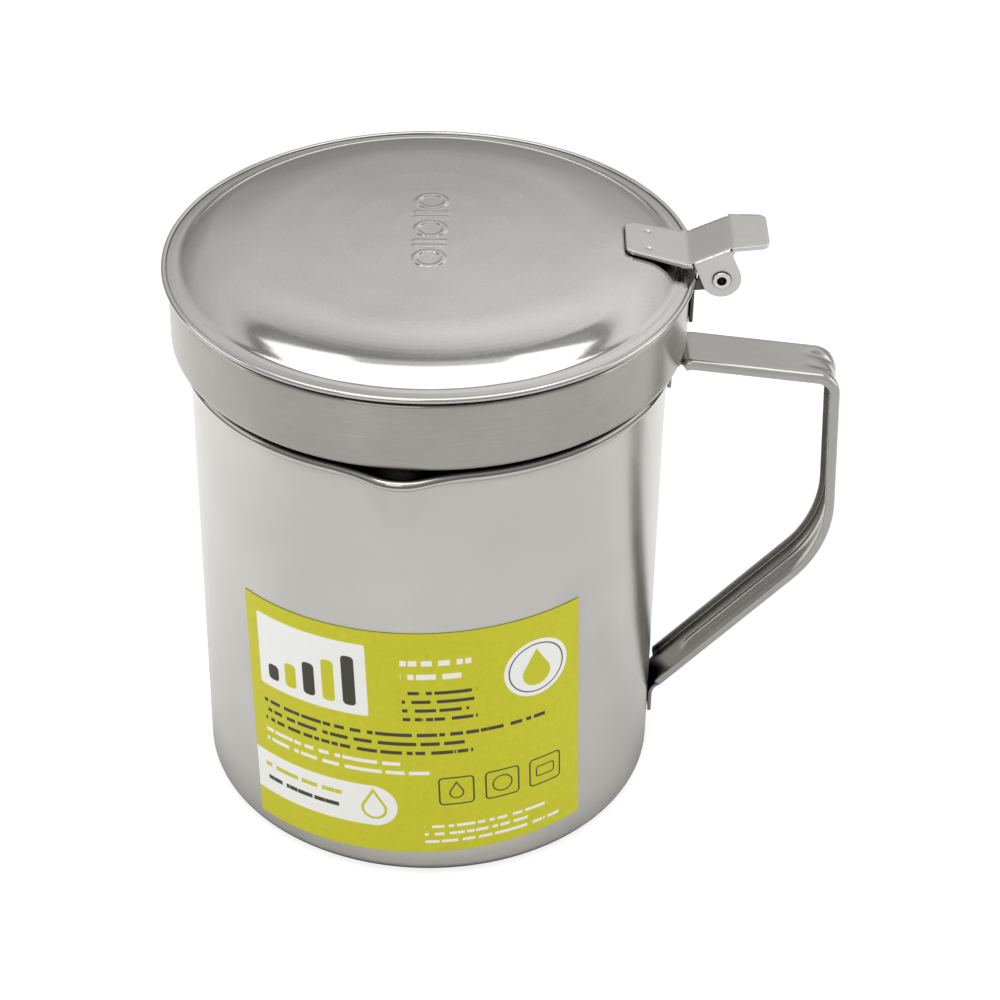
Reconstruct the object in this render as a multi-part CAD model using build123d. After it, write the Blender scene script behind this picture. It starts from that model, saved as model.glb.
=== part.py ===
from build123d import *
from math import acos, atan, cos, degrees, radians, sin, sqrt, tan
import os

# Steel pot with a pouring lip, a channel handle, a lift-off strainer collar and a hinged lid.
# Millimetres. The origin is the centre of the base. +Z is up, +X points to the handle and hinge,
# and the pouring lip faces -Y.

# ---- pot -------------------------------------------------------------------------------------
pot_radius = 45.0
pot_sheet = 0.6
pot_bend = 2.5                # outside radius of the bend between floor and wall
rim_height = 94.4             # centre of the rolled rim above the table
rim_roll = 1.1                # radius of the rolled rim's section
rim_overhang = 0.4            # centre of the roll outside the wall's outer face

lip_azimuth = -95.0           # the lip, seen from above, counter-clockwise from +X
lip_reach = 3.0               # how far the lip stands out of the round rim
lip_nose = 8.0                # radius of the lip's nose, seen from above
lip_blend = 40.0              # radius of its sweep into the round rim
lip_depth = 13.0              # height of the drawn-out part of the wall

# ---- handle: one strap with its edges folded in ------------------------------------------------
strap_width = 11.4
strap_sheet = 0.7
strap_flange = 1.9            # depth of the folded edges, sheet included
strap_fold = 1.0              # outside radius of the folds
strap_above_rim = 0.3         # the strap's outer face above the middle of the rim
strap_fall = 3.6              # how far the top run falls from the wall to the knuckle
strap_knuckle_out = 32.3      # corner above the fingers, out from the wall
strap_knuckle_bend = 4.8
strap_heel_out = 34.2         # corner below the fingers, out from the wall
strap_heel_height = 51.4
strap_heel_bend = 25.6
strap_foot_height = 14.4      # where the strap comes back to the wall
strap_tab_up = 7.0            # flat welding tab below the top corner
strap_tab_down = 5.3          # flat welding tab below the foot
strap_root_bend = 4.5          # it clears the rolled rim
strap_foot_bend = 2.8
strap_root_fold_out = 4.6     # the folded edges begin this far out from the wall, at the top
strap_foot_fold_out = 1.8     # and at the foot
weld_gap = 0.02               # spot-welded sheets lie this close

groove_width = 3.4            # stiffening groove pressed into the strap
groove_depth = 0.4
groove_start_out = 23.5       # out from the wall, on the top run
groove_end_out = 6.5          # out from the wall, on the lower run

# ---- label -------------------------------------------------------------------------------------
label_width = 69.0
label_height = 53.5
label_paper = 0.12
label_glue = 0.05
label_azimuth = -93.0
label_middle = 32.5
label_tilt = 2.3              # degrees, the right side higher

# ---- strainer collar ---------------------------------------------------------------------------
collar_overhang = 3.25        # the collar's wall outside the pot's wall
collar_sheet = 0.6
collar_wall = 13.5            # from the shoulder's corner to the top
collar_top_bend = 1.0
collar_lip = 1.6              # width of the turned-in top edge
shoulder_bend = 2.2
shoulder_slope = 35.0         # degrees below the horizontal, towards the axis
neck_bend = 1.2
neck_clearance = 0.4          # between the collar's neck and the mouth of the pot
neck_depth = 6.0              # straight neck inside the pot

# ---- strainer basket ---------------------------------------------------------------------------
basket_sheet = 0.5
basket_clearance = 0.5        # between the basket's wall and the collar's neck
basket_rim_clearance = 0.6    # between the basket's rim and the collar's turned-in lip
basket_depth = 12.0           # from its rim down to its floor, outside
basket_bend = 1.5
seat_gap = 0.1                # loose pieces rest this close to their seats
hole_radius = 0.8
hole_pitch = 4.6              # between the rings of holes
hole_margin = 4.0             # from the outer ring of holes to the basket's wall, at least

# ---- lid ---------------------------------------------------------------------------------------
lid_overhang = 1.13           # the lid's rolled edge outside the collar's wall
lid_sheet = 0.5
hem_radius = 0.55             # rolled edge of the lid
hem_lift = 0.55               # from the lid's seat up to the rolled edge
hem_leg = 1.43                # from the roll inwards to its turned-down end, which is the seat
hem_leg_bend = 0.3
flange_width = 2.23           # flat ring inside the rolled edge
dome_height = 5.25            # top of the dome above the flat ring
foot_run = 1.1                # the dome's foot, from the flat ring inwards
foot_rise = 0.36
skirt_run = 5.0               # rounded edge of the dome
skirt_rise = 2.34
brow_run = 4.2                # easier slope above it, where the lever lies
brow_rise = 0.95
slope_run = 6.3               # gentle slope around the crown
slope_rise = 0.8

# ---- lid lever ---------------------------------------------------------------------------------
lever_width = 12.93
lever_inner_width = 10.9      # it narrows from its bends to both ends
lever_tip_width = 11.5
lever_sheet = 0.8
lever_inner_reach = 17.45     # inner end, from the hinge pin towards the middle of the lid
lever_low_reach = 6.1         # bend above the lid's edge, from the pin inwards
lever_low_rise = 2.9          # the same bend above the pin
lever_high_reach = 1.85       # bend where the thumb rest begins, from the pin outwards
lever_high_rise = 6.6
lever_tip_reach = 8.4
lever_tip_rise = 6.9
lever_bend = 1.5
lever_corner = 1.8            # rounded corners, seen from above
lever_fold = 1.1              # outside radius of the folds to the ears
fold_notch = 0.3              # relief cut at both ends of a fold
ear_radius = 3.6              # rounded end of the ears, around the pin
ear_inner_reach = 5.3         # the ears' edges where they meet the lever
ear_outer_reach = 1.15

weld_dimple_reach = 13.3      # from the hinge pin inwards
weld_dimple_spacing = 6.2
weld_dimple_radius = 0.65
weld_dimple_depth = 0.25

# ---- hinge -------------------------------------------------------------------------------------
pin_reach = 4.17              # the pin's axis outside the lid's edge
pin_rise = 0.94               # and above the collar's top
pin_radius = 1.25
pin_hole_radius = 0.9
pin_head_radius = 1.65
pin_head_height = 0.45
pin_running_clearance = 0.05
pin_tight_clearance = 0.01
ear_side_clearance = 0.15     # between the lever's ears and the bracket's
head_clearance = 0.1          # between the rivet's heads and the lever's ears
bracket_sheet = 0.7
bracket_ear_radius = 2.35
bracket_ear_fall = 0.65       # how far the ears' lower edges fall towards the plate
bracket_corner = 0.4          # small rounds of the ears' inner edges, near the lid's rolled edge:
bracket_corners = [(-3.75, -0.5), (-3.65, 1.0), (-2.95, 2.3)]     # their centres, from the pin
bracket_arm_end = (-4.4, -0.95)
bracket_arm_round = 0.3
bracket_foot_rise = 3.65      # lower end of the bracket's plate above the shoulder's corner
bracket_foot_corner = 1.2
bracket_fold = 1.0            # outside radius of the folds to its ears
bracket_top_gap = 0.35        # from the bracket's plate up to the lid's rolled edge

# ---- sizes that follow -------------------------------------------------------------------------
pot_inside = pot_radius - pot_sheet
strap_top = rim_height + strap_above_rim
strap_root = (pot_radius + weld_gap, strap_top)
strap_knuckle = (pot_radius + strap_knuckle_out, strap_top - strap_fall)
strap_heel = (pot_radius + strap_heel_out, strap_heel_height)
strap_foot = (pot_radius + weld_gap + strap_sheet, strap_foot_height)

collar_radius = pot_radius + collar_overhang
shoulder_turn = radians(shoulder_slope)
roll_radius = pot_radius + rim_overhang
roll_to_shoulder = rim_roll + seat_gap
shoulder_rise = (collar_radius - roll_radius) * tan(shoulder_turn)
shoulder_corner = rim_height + roll_to_shoulder / cos(shoulder_turn) + shoulder_rise
collar_top = shoulder_corner + collar_wall
neck_radius = pot_inside - neck_clearance

basket_rim_radius = collar_radius - collar_lip - basket_rim_clearance
basket_wall_radius = neck_radius - collar_sheet - basket_clearance
basket_seat = shoulder_corner - (collar_radius - basket_rim_radius) * tan(shoulder_turn)
basket_rim_top = basket_seat + collar_sheet / cos(shoulder_turn) + seat_gap + basket_sheet

lid_radius = collar_radius + lid_overhang
lid_bottom = collar_top + seat_gap
hem_bottom = lid_bottom + hem_lift
flange_top = hem_bottom + 2 * hem_radius
dome_top = flange_top + dome_height

pin_x = lid_radius + pin_reach
pin_z = collar_top + pin_rise
lever_low = (pin_x - lever_low_reach, pin_z + lever_low_rise)
lever_high = (pin_x + lever_high_reach, pin_z + lever_high_rise)
lever_tip = (pin_x + lever_tip_reach, pin_z + lever_tip_rise)
ear_outside = lever_width / 2
ear_inside = ear_outside - lever_sheet
bracket_half = ear_inside - ear_side_clearance


def in_side_view(shape):
    """Stands a shape drawn as (x, z) up in the XZ plane."""
    return Plane.XZ * shape


def thickened(path, amount):
    """A flat face between an open path and its parallel, to the left of the path's direction."""
    side = Side.LEFT if amount > 0 else Side.RIGHT
    return make_face(offset(path, amount=abs(amount), side=side, closed=True))


def sheet_of_revolution(path, amount):
    return revolve(in_side_view(thickened(path, amount)), axis=Axis.Z)


def across(face, width):
    """A side view face extruded across the part, along Y."""
    return extrude(in_side_view(face), amount=width / 2, both=True)


def polar(radius, azimuth):
    return Vector(radius * cos(radians(azimuth)), radius * sin(radians(azimuth)))


def rim_outline(outwards):
    """The rim seen from above: a circle drawn out to a lip, moved outwards by a distance."""
    round_radius = pot_radius + outwards
    nose_radius = lip_nose + outwards
    blend_radius = lip_blend - outwards
    nose_at = pot_radius + lip_reach - lip_nose
    blend_at = pot_radius + lip_blend
    between = lip_nose + lip_blend
    half = degrees(acos((blend_at**2 + nose_at**2 - between**2) / (2 * blend_at * nose_at)))
    nose_centre = polar(nose_at, lip_azimuth)
    ends = []
    for turn in (-1, 1):
        centre = polar(blend_at, lip_azimuth + turn * half)
        on_round = polar(round_radius, lip_azimuth + turn * half)
        on_nose = nose_centre + (centre - nose_centre).normalized() * nose_radius
        towards = (on_round - centre).normalized() + (on_nose - centre).normalized()
        ends.append((on_round, centre + towards.normalized() * blend_radius, on_nose))
    (round_a, blend_a, nose_a), (round_b, blend_b, nose_b) = ends
    tip = polar(nose_at + nose_radius, lip_azimuth)
    back = polar(round_radius, lip_azimuth + 180)
    arcs = [
        ThreePointArc(round_b, back, round_a),
        ThreePointArc(round_a, blend_a, nose_a),
        ThreePointArc(nose_a, tip, nose_b),
        ThreePointArc(nose_b, blend_b, round_b),
    ]
    return Pos(0, 0, rim_height) * Wire([arc.edge() for arc in arcs])


def lip_block(outwards, above):
    """The lip as a solid that tapers down into the round wall, and stands straight above the rim."""
    outline = make_face(rim_outline(outwards))
    taper = degrees(atan(lip_reach / lip_depth))
    block = extrude(outline, amount=lip_depth, dir=(0, 0, -1), taper=taper)
    if above > 0:
        block += extrude(outline, amount=above, dir=(0, 0, 1))
    return block


def round_block(radius, bottom, top, bend):
    block = Pos(0, 0, (bottom + top) / 2) * Cylinder(radius, top - bottom)
    return fillet(block.edges().group_by(Axis.Z)[0], bend)


def pot_body():
    """Deep-drawn pot with a rolled rim and a pouring lip."""
    above_rim = 3 * rim_roll
    outside = round_block(pot_radius, 0, rim_height, pot_bend) + lip_block(0, 0)
    centre_line = rim_outline(rim_overhang)
    section = Plane(origin=centre_line @ 0, z_dir=centre_line % 0) * Circle(rim_roll)
    outside += sweep(section, path=centre_line)
    inside = round_block(pot_inside, pot_sheet, rim_height + above_rim, pot_bend - pot_sheet)
    inside += lip_block(-pot_sheet, above_rim)
    return outside - inside


def on_line(x, start, end):
    """The point at x on the straight line between two points of the side view."""
    share = (x - start[0]) / (end[0] - start[0])
    return (x, start[1] + share * (end[1] - start[1]))


def strap_on_top(out):
    return on_line(pot_radius + out, strap_root, strap_knuckle)


def strap_below(out):
    return on_line(pot_radius + out, strap_foot, strap_heel)


def strap_run(start_out, end_out):
    """The strap's outer face between a place on its top run and one on its lower run."""
    bends = [strap_knuckle_bend, strap_heel_bend]
    corners = [strap_on_top(start_out), strap_knuckle, strap_heel, strap_below(end_out)]
    return in_side_view(FilletPolyline(*corners, radius=bends).wire())


def strap_sweep(section, path):
    """A section drawn with +X across the strap and +Y outwards, swept along the strap."""
    start = Plane(origin=path @ 0, x_dir=(0, 1, 0), z_dir=path % 0)
    return sweep(start * section, path=path)


def strap_tab(near, corner, length, bend, amount):
    """The flat end of the strap that turns down along the wall and is welded to it."""
    end = (corner[0], corner[1] - length)
    path = FilletPolyline(near, corner, end, radius=bend)
    return across(thickened(path, amount), strap_width - 2 * strap_fold)


def handle():
    """One strap: a web with two folded edges, flat welding tabs and a stiffening groove."""
    half = strap_width / 2
    fold_path = FilletPolyline(
        (-half, -strap_flange), (-half, 0), (half, 0), (half, -strap_flange), radius=strap_fold
    )
    channel = thickened(fold_path, -strap_sheet)
    solid = strap_sweep(channel, strap_run(strap_root_fold_out, strap_foot_fold_out))

    groove_radius = ((groove_width / 2) ** 2 + groove_depth**2) / (2 * groove_depth)
    groove_path = strap_run(groove_start_out, groove_end_out)
    groove_centre = Pos(0, groove_radius - groove_depth)
    ridge = groove_centre * Circle(groove_radius + strap_sheet)
    ridge &= Pos(0, -strap_flange / 2 - strap_sheet / 2) * Rectangle(strap_width, strap_flange)
    solid += strap_sweep(ridge, groove_path)
    groove = groove_centre * Circle(groove_radius)
    groove &= Rectangle(strap_width, 2 * strap_sheet)
    solid -= strap_sweep(groove, groove_path)

    near = strap_on_top(strap_root_fold_out + strap_root_bend)
    solid += strap_tab(near, strap_root, strap_tab_up, strap_root_bend, strap_sheet)
    near = strap_below(strap_foot_fold_out + strap_foot_bend)
    solid += strap_tab(near, strap_foot, strap_tab_down, strap_foot_bend, -strap_sheet)
    return solid


def product_label():
    """Paper label on the wall: a tilted rectangle cut from a thin ring."""
    inner = pot_radius + label_glue
    ring = Cylinder(inner + label_paper, rim_height) - Cylinder(inner, rim_height)
    ring = Pos(0, 0, rim_height / 2) * ring
    outline = Rot(0, 0, label_tilt) * Rectangle(chord_of(label_width), label_height)
    face = in_side_view(outline)
    block = extrude(face, amount=2 * pot_radius, dir=(0, -1, 0))
    block = Pos(0, 0, label_middle) * Rot(0, 0, label_azimuth + 90) * block
    return ring & block


def chord_of(arc_length):
    half_angle = arc_length / pot_radius / 2
    return 2 * pot_radius * sin(half_angle)


def strainer_collar():
    """Ring that stands on the pot's rim: wall, sloping shoulder and neck, from one sheet."""
    neck_corner = shoulder_corner - (collar_radius - neck_radius) * tan(shoulder_turn)
    path = FilletPolyline(
        (collar_radius - collar_lip, collar_top),
        (collar_radius, collar_top),
        (collar_radius, shoulder_corner),
        (neck_radius, neck_corner),
        (neck_radius, neck_corner - neck_bend - neck_depth),
        radius=[collar_top_bend, shoulder_bend, neck_bend],
    )
    return sheet_of_revolution(path, -collar_sheet)


def strainer_basket():
    """Shallow perforated cup that hangs in the collar by its rim."""
    inside_radius = basket_wall_radius - basket_sheet
    floor_z = basket_rim_top - basket_depth
    path = FilletPolyline(
        (basket_rim_radius, basket_rim_top),
        (inside_radius, basket_rim_top),
        (inside_radius, floor_z + basket_sheet),
        (0, floor_z + basket_sheet),
        radius=basket_bend,
    )
    basket = sheet_of_revolution(path, basket_sheet)
    drill = Pos(0, 0, floor_z) * Cylinder(hole_radius, 3 * basket_sheet)
    drills = [drill]
    rings = int((basket_wall_radius - hole_margin) / hole_pitch)
    for ring in range(1, rings + 1):
        count = 6 * ring
        for step in range(count):
            drills.append(Location(polar(ring * hole_pitch, step * 360 / count)) * drill)
    return basket - drills


def dome_points():
    """The lid's outer face from the middle to the flat ring, as the ends of its arcs."""
    foot = Vector(lid_radius - hem_radius - flange_width, flange_top)
    skirt = foot + Vector(-foot_run, foot_rise)
    brow = skirt + Vector(-skirt_run, skirt_rise)
    slope = brow + Vector(-brow_run, brow_rise)
    crown = slope + Vector(-slope_run, slope_rise)
    return [Vector(0, dome_top), crown, slope, brow, skirt, foot]


def dome_arcs():
    points = dome_points()
    arcs = []
    direction = Vector(1, 0)
    for start, end in zip(points, points[1:]):
        arcs.append(TangentArc(start, end, tangent=direction))
        direction = arcs[-1] % 1
    return arcs


def lid():
    """Pressed lid: a cushion dome, a flat ring and a rolled edge whose end is turned down."""
    hem_x = lid_radius - hem_radius
    arcs = dome_arcs()
    ring = Line(arcs[-1] @ 1, (hem_x, flange_top))
    hem = TangentArc(ring @ 1, (hem_x, hem_bottom), tangent=(1, 0))
    leg_x = hem_x - hem_leg
    leg = FilletPolyline(hem @ 1, (leg_x, hem_bottom), (leg_x, lid_bottom), radius=hem_leg_bend)
    path = Wire([piece.edge() for piece in [*arcs, ring, hem]] + list(leg.edges()))
    return sheet_of_revolution(path, -lid_sheet)


def dome_height_at(x):
    """Height of the lid's gentle slope at a distance from its axis."""
    slope_arc = dome_arcs()[1].edge()
    centre = slope_arc.arc_center
    return centre.Y + sqrt(slope_arc.radius**2 - (x - centre.X) ** 2)


def lever_inner():
    """The inner end of the lever's top face: the lever lies on the lid's slope."""
    x = pin_x - lever_inner_reach
    return (x, dome_height_at(x) + seat_gap + lever_sheet)


def lid_lever():
    """Thumb lever, spot-welded to the lid, with two ears folded down around the hinge pin."""
    corners = [lever_inner(), lever_low, lever_high, lever_tip]
    path = FilletPolyline(*corners, radius=lever_bend)
    plate = across(thickened(path, -lever_sheet), lever_width)
    widths = [lever_inner_width, lever_width, lever_width, lever_tip_width]
    near_edge = [(x, -width / 2) for (x, _), width in zip(corners, widths)]
    far_edge = [(x, width / 2) for (x, _), width in zip(corners, widths)]
    plan = make_face(Polyline(*near_edge, *reversed(far_edge), close=True))
    by_x = plan.vertices().group_by(Axis.X)
    plan = fillet(by_x[0] + by_x[-1], lever_corner)
    plate &= extrude(plan, amount=2 * lever_tip[1])

    ear_start_x, ear_start_z = on_line(pin_x - ear_inner_reach, lever_low, lever_high)
    ear_end_x, ear_end_z = on_line(pin_x + ear_outer_reach, lever_low, lever_high)
    ear_start = Vector(ear_start_x, 0, ear_start_z)
    run = Vector(ear_end_x, 0, ear_end_z) - ear_start
    along = Plane(origin=ear_start, x_dir=(0, 1, 0), z_dir=run)
    strip = Box(2 * lever_fold, 4 * lever_sheet, run.length + 2 * fold_notch)
    for side in (-1, 1):
        plate -= along * Pos(side * ear_outside, 0, run.length / 2) * strip

    ear_drop = ear_start_z - pin_z + 2 * ear_radius
    fold_path = FilletPolyline(
        (-ear_outside, -ear_drop),
        (-ear_outside, 0),
        (ear_outside, 0),
        (ear_outside, -ear_drop),
        radius=lever_fold,
    )
    channel = extrude(along * thickened(fold_path, -lever_sheet), amount=3 * run.length, both=True)
    channel &= across(ear_outline(pin_radius + pin_running_clearance), 2 * lever_width)
    lever = plate + channel
    for side in (-1, 1):
        lever -= weld_dimple(corners[0], side * weld_dimple_spacing / 2)
    return lever


def ear_outline(hole_radius_there):
    """An ear of the lever from the side: it narrows from the lever to its round end."""
    root_start = on_line(pin_x - ear_inner_reach, lever_low, lever_high)
    root_end = on_line(pin_x + ear_outer_reach, lever_low, lever_high)
    round_end = Pos(pin_x, pin_z) * Circle(ear_radius)
    outline = make_hull([*round_end.edges(), Line(root_start, root_end).edge()])
    return outline - Pos(pin_x, pin_z) * Circle(hole_radius_there)


def weld_dimple(inner_end, y):
    """Ball that leaves the small round dent of a spot weld in the lever's inner run."""
    ball_radius = (weld_dimple_radius**2 + weld_dimple_depth**2) / (2 * weld_dimple_depth)
    x, face_z = on_line(pin_x - weld_dimple_reach, inner_end, lever_low)
    return Pos(x, y, face_z + ball_radius - weld_dimple_depth) * Sphere(ball_radius)


def hinge_bracket():
    """U bracket, spot-welded to the collar: a plate along the wall and two ears for the pin."""
    back_x = collar_radius + weld_gap
    top_z = hem_bottom - bracket_top_gap
    root_bottom_z = pin_z - bracket_ear_radius - bracket_ear_fall
    ear_end_x = pin_x + 2 * bracket_ear_radius
    plan = FilletPolyline(
        (ear_end_x, -bracket_half),
        (back_x, -bracket_half),
        (back_x, bracket_half),
        (ear_end_x, bracket_half),
        radius=bracket_fold,
    )
    ear_height = lever_high[1] - root_bottom_z
    channel = extrude(thickened(plan, -bracket_sheet), amount=ear_height)
    channel = Pos(0, 0, root_bottom_z) * channel
    round_end = Pos(pin_x, pin_z) * Circle(bracket_ear_radius)
    root = Line((back_x, root_bottom_z), (back_x, top_z)).edge()
    low_root = Line((back_x, root_bottom_z), (back_x, root_bottom_z + bracket_sheet)).edge()
    arm_x, arm_z = bracket_arm_end
    arm_end = Pos(pin_x + arm_x, pin_z + arm_z) * Circle(bracket_arm_round)
    rounds = [Pos(pin_x + x, pin_z + z) * Circle(bracket_corner) for x, z in bracket_corners]
    profile = make_hull([*arm_end.edges(), root])
    profile += make_hull([*round_end.edges(), *arm_end.edges(), low_root])
    profile += make_hull([*round_end.edges(), *[edge for part in rounds for edge in part.edges()]])
    profile -= Pos(pin_x, pin_z) * Circle(pin_radius + pin_tight_clearance)
    bracket = channel & across(profile, 2 * bracket_half)
    foot_z = shoulder_corner + bracket_foot_rise
    foot = Box(bracket_sheet, 2 * (bracket_half - bracket_fold), top_z - foot_z)
    low_corners = foot.edges().filter_by(Axis.X).group_by(Axis.Z)[0]
    foot = fillet(low_corners, bracket_foot_corner)
    return bracket + Pos(back_x + bracket_sheet / 2, 0, (top_z + foot_z) / 2) * foot


def hinge_rivet():
    """Hollow rivet through both pairs of ears, flared at both ends."""
    shank_half = ear_outside + head_clearance
    length = 2 * (shank_half + pin_head_height)
    rivet = Cylinder(pin_radius, length)
    for side in (-1, 1):
        head = Pos(0, 0, side * (shank_half + pin_head_height / 2))
        rivet += head * Cylinder(pin_head_radius, pin_head_height)
    outer_edges = rivet.edges().filter_by(GeomType.CIRCLE).group_by(Axis.Z)
    rivet = fillet(outer_edges[0] + outer_edges[-1], pin_head_height / 2)
    rivet -= Cylinder(pin_hole_radius, 2 * length)
    return Pos(pin_x, 0, pin_z) * Rot(90, 0, 0) * rivet


PIECES = {
    "pot_body": pot_body,
    "handle": handle,
    "product_label": product_label,
    "strainer_collar": strainer_collar,
    "strainer_basket": strainer_basket,
    "hinge_bracket": hinge_bracket,
    "hinge_rivet": hinge_rivet,
    "lid": lid,
    "lid_lever": lid_lever,
}

os.makedirs("parts", exist_ok=True)
for name, make in PIECES.items():
    export_step(make(), f"parts/{name}.step")
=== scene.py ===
import math

import bpy
import bmesh
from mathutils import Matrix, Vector
from mathutils.geometry import delaunay_2d_cdt

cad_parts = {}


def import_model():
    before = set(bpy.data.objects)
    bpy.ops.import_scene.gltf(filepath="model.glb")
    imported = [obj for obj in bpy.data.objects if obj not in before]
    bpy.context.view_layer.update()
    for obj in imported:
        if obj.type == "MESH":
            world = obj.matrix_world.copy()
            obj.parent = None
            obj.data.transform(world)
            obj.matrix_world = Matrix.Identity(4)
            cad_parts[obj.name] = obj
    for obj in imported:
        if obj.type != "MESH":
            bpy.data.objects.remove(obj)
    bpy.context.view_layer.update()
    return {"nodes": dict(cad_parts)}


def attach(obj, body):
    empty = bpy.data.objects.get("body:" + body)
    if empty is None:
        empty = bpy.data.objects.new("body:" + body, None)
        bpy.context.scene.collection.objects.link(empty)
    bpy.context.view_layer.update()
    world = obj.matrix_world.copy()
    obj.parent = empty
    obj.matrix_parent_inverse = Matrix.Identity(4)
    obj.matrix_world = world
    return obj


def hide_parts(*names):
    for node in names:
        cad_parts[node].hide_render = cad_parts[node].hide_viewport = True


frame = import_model()

MM = 0.001

# Sizes in millimetres, as in the CAD source.
WELD_GAP = 0.02
POT_RADIUS = 45.0
POT_SHEET = 0.6
POT_BEND = 2.5
RIM_HEIGHT = 94.4
RIM_ROLL = 1.1
RIM_OVERHANG = 0.4
LIP_AZIMUTH = -95.0
LIP_REACH = 3.0
LIP_NOSE = 8.0
LIP_BLEND = 40.0
LIP_DEPTH = 13.0

COLLAR_RADIUS = 48.25
COLLAR_SHEET = 0.6
COLLAR_LIP = 1.6
SHOULDER_SLOPE = math.radians(35.0)
SHOULDER_CORNER = (
    RIM_HEIGHT
    + (RIM_ROLL + 0.1) / math.cos(SHOULDER_SLOPE)
    + (COLLAR_RADIUS - POT_RADIUS - RIM_OVERHANG) * math.tan(SHOULDER_SLOPE)
)
COLLAR_TOP = SHOULDER_CORNER + 13.5
NECK_RADIUS = 44.0
NECK_DEPTH = 6.0
COLLAR_TOP_DROP = 0.25
COLLAR_BENDS = [0.8, 2.2, 1.2]

LID_RADIUS = 49.38
LID_SHEET = 0.5
HEM_RADIUS = 0.55
HEM_LEG = 1.43
HEM_TURN = 0.3
HEM_WALL = 0.42
RING_DROPS = (0.06, 0.37)
FLANGE_WIDTH = 2.23
DOME_RUNS = [(1.1, 0.36), (5.0, 2.34), (4.2, 0.95), (6.3, 0.8)]    # inwards and up, from its foot
LID_BOTTOM = COLLAR_TOP + 0.1
HEM_BOTTOM = LID_BOTTOM + 0.55
HEM_TOP = HEM_BOTTOM + 2 * HEM_RADIUS
DOME_TOP = HEM_TOP + 5.25

MARK_REACH = 15.5
MARK_MIDDLE = 0.1
MARK_ACROSS = 0.3
MARK_RISE = 0.2

LABEL_RADIUS = 45.05
LABEL_PAPER = 0.12
LABEL_WIDTH = 69.0
LABEL_HEIGHT = 53.5
LABEL_AZIMUTH = -93.0
LABEL_MIDDLE = 32.5
LABEL_TILT = math.radians(2.3)

STRAP_HALF = 5.7
STRAP_SHEET = 0.7
STRAP_FLANGE = 1.9
STRAP_FOLD = 1.0
STRAP_TOP = RIM_HEIGHT + 0.3
STRAP_TAB_UP = 7.0
STRAP_TAB_DOWN = 5.3
STRAP_KNUCKLE = (POT_RADIUS + 32.3, STRAP_TOP - 3.6)
STRAP_HEEL = (POT_RADIUS + 34.2, 51.4)
STRAP_FOOT = (POT_RADIUS + WELD_GAP + STRAP_SHEET, 14.4)
STRAP_BENDS = [4.5, 4.8, 25.6, 2.8]
KNUCKLE_DENT = 0.62
FOLD_FROM_WALL_TOP = 2.4
FOLD_FROM_WALL_FOOT = 2.0
GROOVE_HALF = 2.0
GROOVE_DEPTH = 0.4
GROOVE_START_OUT = 25.5
GROOVE_END_OUT = 6.5

PIN = (LID_RADIUS + 4.17, COLLAR_TOP + 0.94)
LEVER_SHEET = 0.8
LEVER_INNER = (PIN[0] - 17.45, HEM_TOP + 3.69 + 0.1 + LEVER_SHEET)
LEVER_LOW = (PIN[0] - 6.1, PIN[1] + 2.9)
LEVER_HIGH = (PIN[0] + 1.85, PIN[1] + 6.6)
LEVER_TIP = (PIN[0] + 8.4, PIN[1] + 6.9)
LEVER_INNER_HALF = 5.45
LEVER_HALF = 6.465
LEVER_TIP_HALF = 5.75
LEVER_BEND = 1.5
LEVER_CORNER = 1.8
LEVER_FOLD = 0.5
FOLD_NOTCH = 0.3
EAR_RADIUS = 3.6
EAR_INNER_REACH = 5.3
EAR_OUTER_REACH = 1.15
DIMPLE_REACH = 13.3
DIMPLE_HALF = 3.1
DIMPLE_DEPTH = 0.22
PIN_RADIUS = 1.25

BRACKET_BACK = COLLAR_RADIUS + WELD_GAP
BRACKET_SHEET = 0.7
BRACKET_HALF = LEVER_HALF - LEVER_SHEET - 0.15
BRACKET_FOLD = 1.0
BRACKET_TOP = HEM_BOTTOM - 0.35
BRACKET_FOOT = SHOULDER_CORNER + 3.65
BRACKET_EAR = 2.35
BRACKET_FALL = 0.65
BRACKET_CORNERS = [(-3.75, -0.5), (-3.65, 1.0), (-2.95, 2.3)]
BRACKET_ROUND = 0.4
BRACKET_ARM = (-4.4, -0.65)
EDGE_ROUND = 0.12


# ---- mesh helpers ----
def on_circle(x, y, radius, t):
    return (x + radius * math.cos(t), y + radius * math.sin(t))


def fillet_path(points, radii, step=6.0):
    """Points along a polyline in 2-D whose inner corners are rounded."""
    pts = [Vector(p) for p in points]
    out = [pts[0].copy()]
    for i in range(1, len(pts) - 1):
        a, b, c = pts[i - 1], pts[i], pts[i + 1]
        u = (a - b).normalized()
        v = (c - b).normalized()
        turn = math.pi - u.angle(v)
        r = radii[i - 1]
        if r <= 0 or turn < 1e-4:
            out.append(b.copy())
            continue
        cut = r * math.tan(turn / 2)
        start = b + u * cut
        centre = b + (u + v).normalized() * (r / math.cos(turn / 2))
        cross = u.x * v.y - u.y * v.x
        sign = -1.0 if cross > 0 else 1.0
        count = max(3, int(math.degrees(turn) / step) + 1)
        arm = start - centre
        for k in range(count + 1):
            t = sign * turn * k / count
            out.append(centre + Vector((arm.x * math.cos(t) - arm.y * math.sin(t),
                                        arm.x * math.sin(t) + arm.y * math.cos(t))))
    out.append(pts[-1].copy())
    return out


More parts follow.
